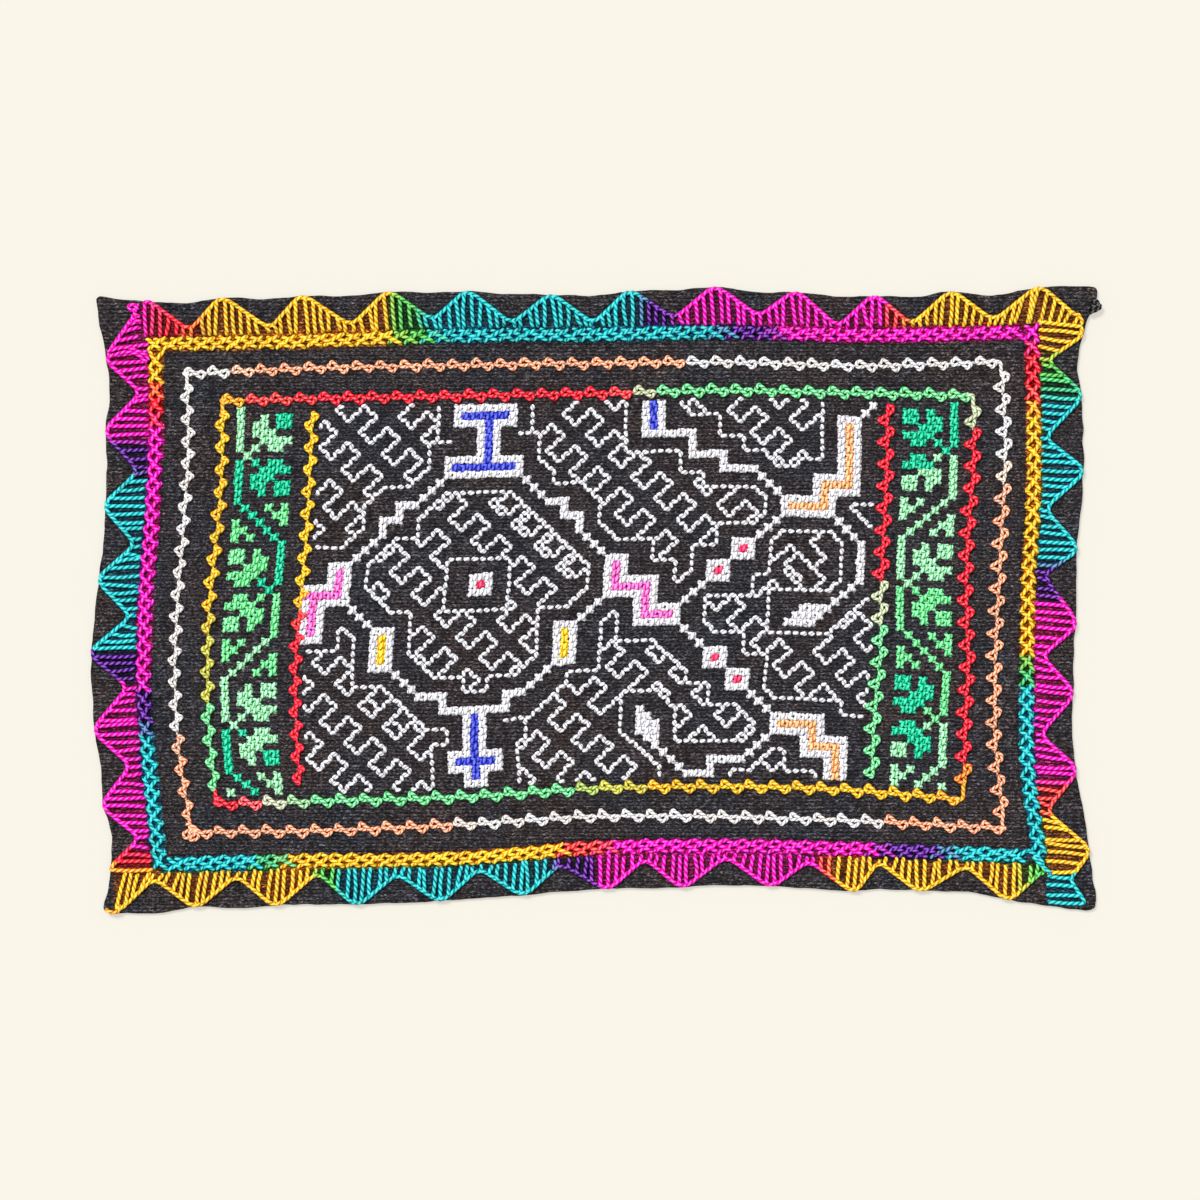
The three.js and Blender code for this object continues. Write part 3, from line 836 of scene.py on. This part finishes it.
def thread_material(name, lay, contrast, rim, fuzz_and_highlight, roughness, depth):
    """Twisted cotton: two plies with fibres along each, painted shade between them and a painted highlight.

    lay is the length of one twist in millimetres, and depth that of its bump. contrast is how much painted
    shade the second ply takes, rim how steep the thread's sides are where their painted shade starts, and
    the fuzz how much of the pale fibres, and with them of the painted highlight, shows on its crown.
    """
    n = Nodes(name)
    dyed = n.add("ShaderNodeAttribute", attribute_name="tint")
    turn, run, _ = n.split(n.add("ShaderNodeUVMap", uv_map="thread"))
    upward = n.math("SINE", n.math("MULTIPLY", turn, 2 * np.pi))
    plies = n.math("SUBTRACT", n.math("MULTIPLY", turn, 2.0), n.math("MULTIPLY", run, 2.0 / lay))
    wave = n.math("COSINE", n.math("MULTIPLY", plies, np.pi))
    crown = n.math("ABSOLUTE", wave)
    place = n.add("ShaderNodeTexCoord", output="Object")
    fibre = n.noise(place, 5200.0, 3.0, 0.65)
    painted_shade = n.shade_colour(dyed)
    # Painted shade: the shade colour on every second ply, in the grooves between plies and down the sides.
    dark = n.times(painted_shade, (0.5, 0.5, 0.5))
    colour = n.mix(n.ramp(wave, (0.4, contrast), (0.6, 0.0)), dyed, painted_shade)
    for value, low, high, shadow in (
        (crown, 0.1, 0.75, painted_shade), (crown, 0.0, 0.35, dark),
        (upward, rim, rim + 0.5, painted_shade), (upward, 0.0, rim + 0.05, dark),
    ):
        colour = n.mix(n.ramp(value, (low, 0.0), (high, 1.0)), shadow, colour)
    # Painted highlight: each ply's crown, where it faces up, turns pale along its fibres.
    pale = n.mix(0.3, dyed, (1.0, 1.0, 1.0))
    shine = n.math("MULTIPLY", n.math("MULTIPLY", crown, upward), fibre)
    colour = n.mix(n.ramp(shine, (0.3, 0.0), (0.55, fuzz_and_highlight)), colour, pale)
    colour = n.times(colour, n.ramp(n.noise(place, 260.0), (0.35, 0.9), (0.65, 1.0)))
    height = n.math("ADD", crown, n.math("MULTIPLY", fibre, 0.4 + fuzz_and_highlight))
    return n.finish(colour, height, depth, {"Roughness": roughness, "Specular IOR Level": 0.12})


# The kinds of thread: name, lay, contrast and rim of the painted shade, fuzz and painted highlight,
# roughness and depth.
PEARL = thread_material("pearl_cotton", 4.0, 0.2, 0.35, 0.6, 0.4, 0.25)
FINE = thread_material("fine_cotton", 3.2, 0.1, 0.2, 0.5, 0.45, 0.2)
YARN = thread_material("soft_yarn", 3.4, 0.2, 0.3, 0.7, 0.5, 0.25)
FLOSS = thread_material("stranded_cotton", 4.0, 0.1, 0.0, 0.5, 0.5, 0.16)
MATERIALS = {
    "edging": PEARL, "herringbone": PEARL, "chain_outer": FINE, "chain_inner": YARN, "divider": FINE,
}


def foot_out(side, along):
    """Where the edging's rungs start: beside that side's herringbone band."""
    foot = run_out(("herringbone", side), along) + RUNG_FOOT
    if side == "left":
        band_end, nearest = LEFT_FOOT
        foot = np.where(along > band_end, np.maximum(foot, nearest), foot)
    return foot


def lint_and_bounce_tint(x, y):
    """As rgba, the dye and share of the border stitches' painted reflected light and shade, partly lint."""
    rgba = np.zeros((len(x), 4))
    fade, most = 1.2, 0.85
    for side in SIDES:
        along, out = along_and_out(side, x, y)
        first, last = side_knots(side)[[0, -1], 0]
        start, end, _ = RUNS["herringbone", side]
        middle = run_out(("herringbone", side), along)
        foot, rope = foot_out(side, along), scallop_out(side, along)
        # The stitch, where its band starts and ends, its sides, and the strengths of dye and share.
        bands = (
            ("edging", first, last, foot - 1.0, rope + 0.5, 0.78, 0.8),
            ("herringbone", start, end, middle - 2.3, middle + 3.0, 1.0, 1.0),
        )
        for stitch, start, end, low, high, dye_strength, share_strength in bands:
            share = smooth((out - low) / fade + 0.5) * smooth((high - out) / fade + 0.5)
            share *= within(along, start, end, 2) * most
            more = share > rgba[:, 3]
            dye = shade((stitch, side), along) * dye_strength
            rgba[more] = np.c_[dye, share * share_strength][more]
    return rgba


def cloth_piece():
    """The cloth as one closed sheet, meshed between its four uneven sides."""
    corner_steps = np.array([0, 0.12, 0.3, 0.6, 1.1])

    def stations(length):
        """Places along a side, closer together at its corners."""
        inner = np.linspace(corner_steps[-1], length - corner_steps[-1], int(length / GRID))
        return np.concatenate([corner_steps[:-1], inner, length - corner_steps[:-1][::-1]])

    def resampled(curve, shares):
        return points_at(curve, shares * distances(curve)[-1])

    width, depth = 334.0, 207.0
    across, upward = stations(width), stations(depth)
    u, v = across / width, upward / depth
    top, bottom = resampled(EDGES["top"], u), resampled(EDGES["bottom"][::-1], u)
    left, right = resampled(EDGES["left"], v), resampled(EDGES["right"][::-1], v)
    for edge, axis in ((top, 1), (bottom, 1), (left, 0), (right, 0)):
        rough = np.convolve(draw.normal(0, EDGE_ROUGHNESS, len(edge) + 2), [0.3, 0.4, 0.3], "valid")
        edge[3:-3, axis] += rough[3:-3]
    uu, vv = u[None, :, None], v[:, None, None]
    plan = (1 - vv) * bottom[None] + vv * top[None] + (1 - uu) * left[:, None] + uu * right[:, None]
    plan -= (1 - vv) * ((1 - uu) * bottom[0] + uu * bottom[-1])
    plan -= vv * ((1 - uu) * top[0] + uu * top[-1])
    from_sides = np.minimum(across, width - across)[None, :]
    inside = np.minimum(from_sides, np.minimum(upward, depth - upward)[:, None])
    fall = 1 - np.clip(inside / RIM_ROUND, 0, 1)
    curve_in = 1 - np.sqrt(1 - fall**2)
    upper = surface(plan[..., 0], plan[..., 1]) - RIM_ROUND * curve_in
    lower = UNDER_ROUND * curve_in + UNDER_GAP
    faces_up = np.dstack([plan, upper]).reshape(-1, 3)
    faces_down = np.dstack([plan, lower]).reshape(-1, 3)
    index = np.arange(inside.size).reshape(inside.shape)
    quads = np.stack([index[:-1, :-1], index[:-1, 1:], index[1:, 1:], index[1:, :-1]], -1).reshape(-1, 4)
    rim = np.concatenate([index[0, :-1], index[:-1, -1], index[-1, :0:-1], index[:0:-1, 0]])
    ahead = np.roll(rim, -1)
    walls = np.stack([rim, rim + index.size, ahead + index.size, ahead], -1)
    faces = np.concatenate([quads, quads[:, ::-1] + index.size, walls])
    points = np.concatenate([faces_up, faces_down])
    # Painted reflected light and shade of the border stitches, partly their lint, on the cloth between them.
    lint_and_bounce = np.tile(lint_and_bounce_tint(faces_up[:, 0], faces_up[:, 1]), (2, 1))
    return mesh_object("cloth_sheet", points, faces, cotton_material(), tint=lint_and_bounce)


def edging(side, threads):
    """One side's scalloped edging: each rung turns into the rope, which runs on under the next rung."""
    run = ("edging", side)
    first, last = side_knots(side)[[0, -1], 0]
    count = int(round((last - first) / RUNG_PITCH))
    roots = np.linspace(first, last, count + 1) + draw.uniform(-0.4, 0.4, count + 1)
    roots[[0, -1]] = first, last
    for root, ahead in zip(roots, np.append(roots[1:], last + 0.4)):
        foot = root + np.interp(root, *RUNG_LEAN[side]) + draw.normal(0, 0.45)
        high = float(scallop_out(side, np.array([root]))[0])
        low = min(float(foot_out(side, foot)) + draw.choice([-0.3, 0.0, 0.0, 0.3, 0.6]), high - 1.0)
        bend = (foot + root) / 2 + draw.normal(0, 0.2)
        rope = np.linspace(root, min(ahead + 0.5, last), 5)
        rung = [(foot, low, -0.4), (foot, low + 0.3, 0.35), (bend, (low + high) / 2, 0.5)]
        laid = np.array([*rung, *np.c_[rope, scallop_out(side, rope), np.linspace(0.75, 0.4, 5)]])
        laid[:, :2] = on_side(side, laid[:, 0], laid[:, 1])
        threads.laid(laid, aged(shade(run, [root])[0], 0.08))


def walking(run, on, left):
    """Points so far on along a run in the way it is sewn, right or down, and so far to its left."""
    start, end, _ = RUNS[run]
    on, left = np.broadcast_arrays(np.asarray(on, float), np.asarray(left, float))
    level = run[1] in LEVEL_SIDES
    along = start + on if level else end - on
    aside = [np.zeros_like(left), left] if level else [left, np.zeros_like(left)]
    return on_side(run[1], along, run_out(run, along)) + np.stack(aside, -1), along


def herringbone(side, threads):
    """A band of crossing stitches: each one's end lies over the start of the one beside it."""
    run, size = ("herringbone", side), HERRINGBONE[side]
    pitch, half = size["pitch"], size["half"]
    start, end, _ = RUNS[run]
    for on in np.arange(-0.6 - pitch, end - start, pitch):
        dye = shade(run, walking(run, on + pitch / 2, 0)[1])[0]
        for stroke, way in (("falling", -1), ("rising", 1)):
            *reach, bow = size[stroke]
            reach = on + np.array(reach)
            places = np.clip(reach + draw.uniform(-0.3, 0.3, 2), -1.0, end - start + 1.0)
            if places[1] - places[0] > (reach[1] - reach[0]) / 2:
                ends, _ = walking(run, places, np.array([-half, half]) * way + draw.uniform(-0.25, 0.25, 2))
                threads.stitch(ends, aged(dye, 0.1), dive=0.4, lift=(0.0, 0.5), plump=0.15, bow=bow)


def chain(run, threads, swing):
    """A line of looped stitches: figures of eight, joined by short links."""
    start, end, _ = RUNS[run]
    loops, unit_length = np.array(CHAIN_LOOPS[run[1]]), CHAIN_UNIT[run[1]]
    count = max(1, int(round((end - start) / unit_length)))
    pitch = (end - start) / count
    for repeat in range(count):
        knots = loops * [pitch / unit_length, swing, 1]
        knots[1:-1, :2] += draw.uniform(-0.2, 0.2, (len(knots) - 2, 2))
        plan, along = walking(run, knots[:, 0] + repeat * pitch, knots[:, 1])
        dye = aged(shade(run, along[:1])[0], 0.07)
        threads.laid(np.c_[plan, threads.height * (0.45 + knots[:, 2])], dye)
        if repeat + 1 < count:
            link, _ = walking(run, (repeat + np.array([0.86, 1.06])) * pitch, 0.0)
            # The link is painted a little darker than its loop: painted shade between the loops.
            threads.stitch(link, dye * 0.85, scale=0.6)


def corner_link(stitch, across, upright, threads):
    """The thread that turns the corner between a chain's run across and its upright run."""
    start, end, _ = RUNS[stitch, across]
    along = start if upright == "left" else end
    low, high, _ = RUNS[stitch, upright]
    height_along = high if across == "top" else low
    level_end = on_side(across, along, run_out((stitch, across), along))
    upright_end = on_side(upright, height_along, run_out((stitch, upright), height_along))
    turn = np.array([upright_end[0], level_end[1]]) * 0.7 + (level_end + upright_end) * 0.15
    aim = np.sign(level_end) * 0.5
    before, after = level_end - aim * [4, -1], upright_end - aim * [-1, 4]
    knots = np.array([before, level_end, turn, upright_end, after])
    plan = curve_through(knots, np.linspace(0, len(knots) - 1.001, 24))
    height = surface(plan[:, 0], plan[:, 1]) + threads.height * 0.5
    threads.tube(np.c_[plan, height], shade((stitch, across), [along])[0])


def loose_ends(run, threads):
    """The run's loose ends and knots, from their charted points."""
    for owner, dye, lift, points in LOOSE_ENDS:
        if owner == run:
            plan = curve_through(points, np.linspace(0, len(points) - 1.001, 5 * len(points)))
            waver = 0.5 * np.abs(np.sin(np.arange(len(plan)) * 0.7)) * (lift == 0)
            threads.laid(np.c_[plan, lift + threads.height * (0.5 + waver)], COLOURS[dye], scale=0.9)


def line_of(run, shift):
    """A function that gives a run's x or y from the distance along it, moved by shift."""
    sign = 1 if run[1] in OUT_IS_POSITIVE else -1
    return lambda along: sign * run_out(run, along) + shift


class StitchGrid:
    """The holes of a field of counted stitches, which lean and bow with the lines round it."""

    def __init__(self, columns, rows, left, right, inset):
        """left and right give x from y. Above and below, the inner frame is so far away."""
        top, bottom = line_of(("chain_inner", "top"), -inset), line_of(("chain_inner", "bottom"), inset)
        steps = np.meshgrid(np.arange(-1, columns + 2), np.arange(-1, rows + 2), indexing="ij")
        share_x, share_y = steps[0] / columns, steps[1] / rows
        y = FIELD_HALF_DEPTH * (1 - 2 * share_y)
        for _ in range(5):
            x = left(y) + (right(y) - left(y)) * share_x
            y = top(x) + (bottom(x) - top(x)) * share_y
        self.holes = np.stack([x, y], -1) + draw.normal(0, HOLE_SPREAD, (*x.shape, 2))

    def hole(self, column, row):
        """The plan's place of the hole at the top left of a cell."""
        return self.holes[column + 1, row + 1]

    def cross(self, threads, column, row, dye):
        """Two stitches across a cell, the second over the first."""
        under = self.hole(column, row), self.hole(column + 1, row + 1)
        over = self.hole(column, row + 1), self.hole(column + 1, row)
        # The stitch beneath is painted a little darker: painted shade under the one over it.
        threads.stitch(under, aged(dye, 0.06) * 0.93, lift=0.05, plump=0.5)
        threads.stitch(over, aged(dye, 0.06), lift=0.3, plump=0.5)


def block_cells():
    """The dye of each cell that has a cross: blocks with their white surrounds, bars and slants."""
    cells = {}

    def fill(dye, column, row, columns, rows):
        for across, down in np.ndindex(columns, rows):
            cells[column + across, row + down] = dye

    for column, row, columns, rows in sum(BLOCKS.values(), []):
        fill("white", column - 1, row - 1, columns + 2, rows + 2)
    for bar in WHITE_BARS:
        fill("white", *bar)
    for column, row, count, way in WHITE_SLANTS:
        for k in range(count):
            cells[column + k, row + k * way] = "white"
    for dye, blocks in BLOCKS.items():
        for block in blocks:
            fill(dye, *block)
    return {
        (column, row): dye
        for (column, row), dye in cells.items()
        if -1 <= column < PANEL_COLUMNS and 0 <= row < PANEL_ROWS
    }


def line_stitches(column, row, moves):
    """The stitches of a charted line, each as its two holes in order."""
    stitches = []
    here = (column, row)
    for move in moves.split():
        letters = move.lstrip("0123456789")
        count = int(move[: len(move) - len(letters)] or 1)
        for letter in letters * count:
            ahead = (here[0] + WAYS[letter][0], here[1] + WAYS[letter][1])
            stitches.append((min(here, ahead), max(here, ahead)))
            here = ahead
    return stitches


def spread(start, beside):
    """All that can be reached from the start, where beside gives what is next to each thing."""
    reached, waiting = set(start), list(start)
    while waiting:
        for found in beside(waiting.pop()):
            if found not in reached:
                reached.add(found)
                waiting.append(found)
    return reached


def cells_left_bare(cells, contours):
    """The cells that can be reached from the crosses without going over a contour."""

    def beside(cell):
        column, row = cell
        for across, down in WAYS.values():
            first = (column + max(across, 0), row + max(down, 0))
            second = (first[0] + abs(down), first[1] + abs(across))
            in_panel = 0 <= column + across < PANEL_COLUMNS and 0 <= row + down < PANEL_ROWS
            if in_panel and (first, second) not in contours:
                yield column + across, row + down

    return spread(cells, beside)


def long_lines(stitches):
    """Only those stitches that are joined in lines of at least SHORTEST_LINE."""
    at_hole = {}
    for stitch in stitches:
        for hole in stitch:
            at_hole.setdefault(hole, []).append(stitch)
    kept, seen = [], set()
    for first in sorted(stitches):
        if first not in seen:
            line = spread([first], lambda stitch: at_hole[stitch[0]] + at_hole[stitch[1]])
            seen |= line
            if len(line) >= SHORTEST_LINE:
                kept += sorted(line)
    return kept


def filling(cells, contours):
    """The hooked lines that fill the fields, kept clear of the contours and of the bare cells."""
    bare = cells_left_bare(cells, contours)
    taken = {hole for stitch in contours for hole in stitch}

    def free(hole):
        column, row = hole
        inside = 0 <= column <= PANEL_COLUMNS and 0 <= row <= PANEL_ROWS
        beside_bare = any((column - i, row - j) in bare for i in (0, 1) for j in (0, 1))
        return inside and not beside_bare and hole not in taken

    def fits(stitch):
        """Both its holes are free, or one is and the other is on a contour, where the line ends."""
        return any(map(free, stitch)) and all(free(hole) or hole in taken for hole in stitch)

    found = set()
    for line in range(-12, 24):
        for repeat in range(-12, 36):
            column = HOOK_START[0] + HOOK_STEP[0] * repeat + HOOK_ROW[0] * line
            row = HOOK_START[1] + HOOK_STEP[1] * repeat + HOOK_ROW[1] * line
            found |= set(filter(fits, line_stitches(column, row, HOOK)))
    return long_lines(found)


def panel():
    """The centre panel: its crosses by colour, and its fine lines in white."""
    left, right = line_of(("divider", "left"), PANEL_INSET), line_of(("divider", "right"), -PANEL_INSET)
    grid = StitchGrid(PANEL_COLUMNS, PANEL_ROWS, left, right, PANEL_INSET)
    cells = block_cells()
    pieces = []
    for name, slot in PANEL_SLOTS.items():
        threads = Threads(*THREADS["cross"])
        for (column, row), dye in cells.items():
            if dye == name:
                grid.cross(threads, column, row, COLOURS[dye])
        pieces.append(threads.made(f"panel_crosses_{name}", FLOSS, f"thread_{slot}"))
    contours = {stitch for line in CONTOURS for stitch in line_stitches(*line)}
    threads = Threads(*THREADS["back"])
    for first, second in sorted(contours) + filling(cells, contours):
        start, end = grid.hole(*first), grid.hole(*second)
        gap = (end - start) * STITCH_GAP
        threads.stitch((start + gap, end - gap), aged(COLOURS["white"], 0.06), plump=0.65)
    pieces.append(threads.made("panel_fine_lines", FLOSS, "thread_white"))
    return pieces


def vine(side):
    """The vine between the inner frame and a divider line, bending from side to side on its way down."""
    sign = 1 if side == "right" else -1

    def middle(y):
        lines = run_out(("chain_inner", side), y) + run_out(("divider", side), y)
        return sign * (lines / 2 + VINE_SHIFT[side])

    grid = StitchGrid(
        VINE_COLUMNS, VINE_ROWS,
        lambda y: middle(y) - VINE_HALF_WIDTH, lambda y: middle(y) + VINE_HALF_WIDTH, VINE_INSET,
    )
    threads = Threads(*THREADS["vine"])
    for row in range(VINE_ROWS):
        bend, bend_row = divmod(row, len(VINE_BEND))
        marks = VINE_BEND[bend_row]
        if (bend % 2 == 1) == (side == "left"):
            marks = marks[::-1]
        _, stem, leaf, berry = [dyes for dyes in VINE_DYES[side] if dyes[0] <= row][-1]
        dyes = {"S": stem, "L": leaf, "B": berry, "P": leaf}
        for column, mark in enumerate(marks):
            if mark in dyes:
                grid.cross(threads, column, row, COLOURS[dyes[mark]])
    return threads.made(f"vine_{side}", FLOSS, "thread_green")


stitching = []
for stitch, slots in SLOTS.items():
    for side, slot in slots.items():
        threads = Threads(*THREADS[stitch])
        if stitch == "edging":
            edging(side, threads)
        elif stitch == "herringbone":
            herringbone(side, threads)
        else:
            chain((stitch, side), threads, CHAIN_SWING[stitch])
        if stitch.startswith("chain") and side in LEVEL_SIDES:
            corner_link(stitch, side, "left", threads)
            corner_link(stitch, side, "right", threads)
        loose_ends((stitch, side), threads)
        name = f"{stitch}_{side}"
        stitching.append(threads.made(f"{name}_thread", MATERIALS[stitch], f"thread_{slot}", name))
stitching += panel()
stitching += [vine("left"), vine("right")]

cloth = cloth_piece()
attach(cloth, "root")
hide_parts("cloth")


def floor():
    """A plain pale floor under the cloth, which gives off part of its own light."""
    n = Nodes("floor_cream")
    pale = linear((249, 245, 233))
    n.feed(n.shader, {
        "Base Color": (*pale * 0.3, 1), "Emission Color": (*pale, 1), "Emission Strength": 0.57,
        "Roughness": 1.0, "Specular IOR Level": 0.0,
    })
    half = 3000.0
    corners = [(-half, -half, 0), (half, -half, 0), (half, half, 0), (-half, half, 0)]
    ground = mesh_object("floor", corners, np.array([[0, 1, 2, 3]]), n.material)


def lights():
    """An even pale surround and one broad soft light from the upper left."""
    world = bpy.data.worlds.new("studio")
    world.use_nodes = True
    background = world.node_tree.nodes["Background"]
    background.inputs["Color"].default_value = (1.0, 1.0, 1.0, 1)
    background.inputs["Strength"].default_value = 0.66
    bpy.context.scene.world = world
    sun = bpy.data.lights.new("window", "SUN")
    sun.energy = 3.15
    sun.angle = np.radians(18)
    lamp = bpy.data.objects.new("window", sun)
    lamp.rotation_euler = (np.radians(-28), np.radians(-24), 0)
    bpy.context.scene.collection.objects.link(lamp)


def camera():
    """Straight above the cloth. The photograph's middle is a little off the cloth's own middle."""
    view_width, sensor, lens = 400.0, 36.0, 135.0
    centre = (np.array([2.0, 0.0]) - MIDDLE) * MM
    data = bpy.data.cameras.new("camera")
    data.sensor_width = sensor
    data.lens = lens
    seat = bpy.data.objects.new("camera", data)
    seat.location = (*centre, view_width * lens / sensor * MM)
    bpy.context.scene.collection.objects.link(seat)
    bpy.context.scene.camera = seat


floor()
lights()
camera()
bpy.context.scene.view_settings.view_transform = "Standard"
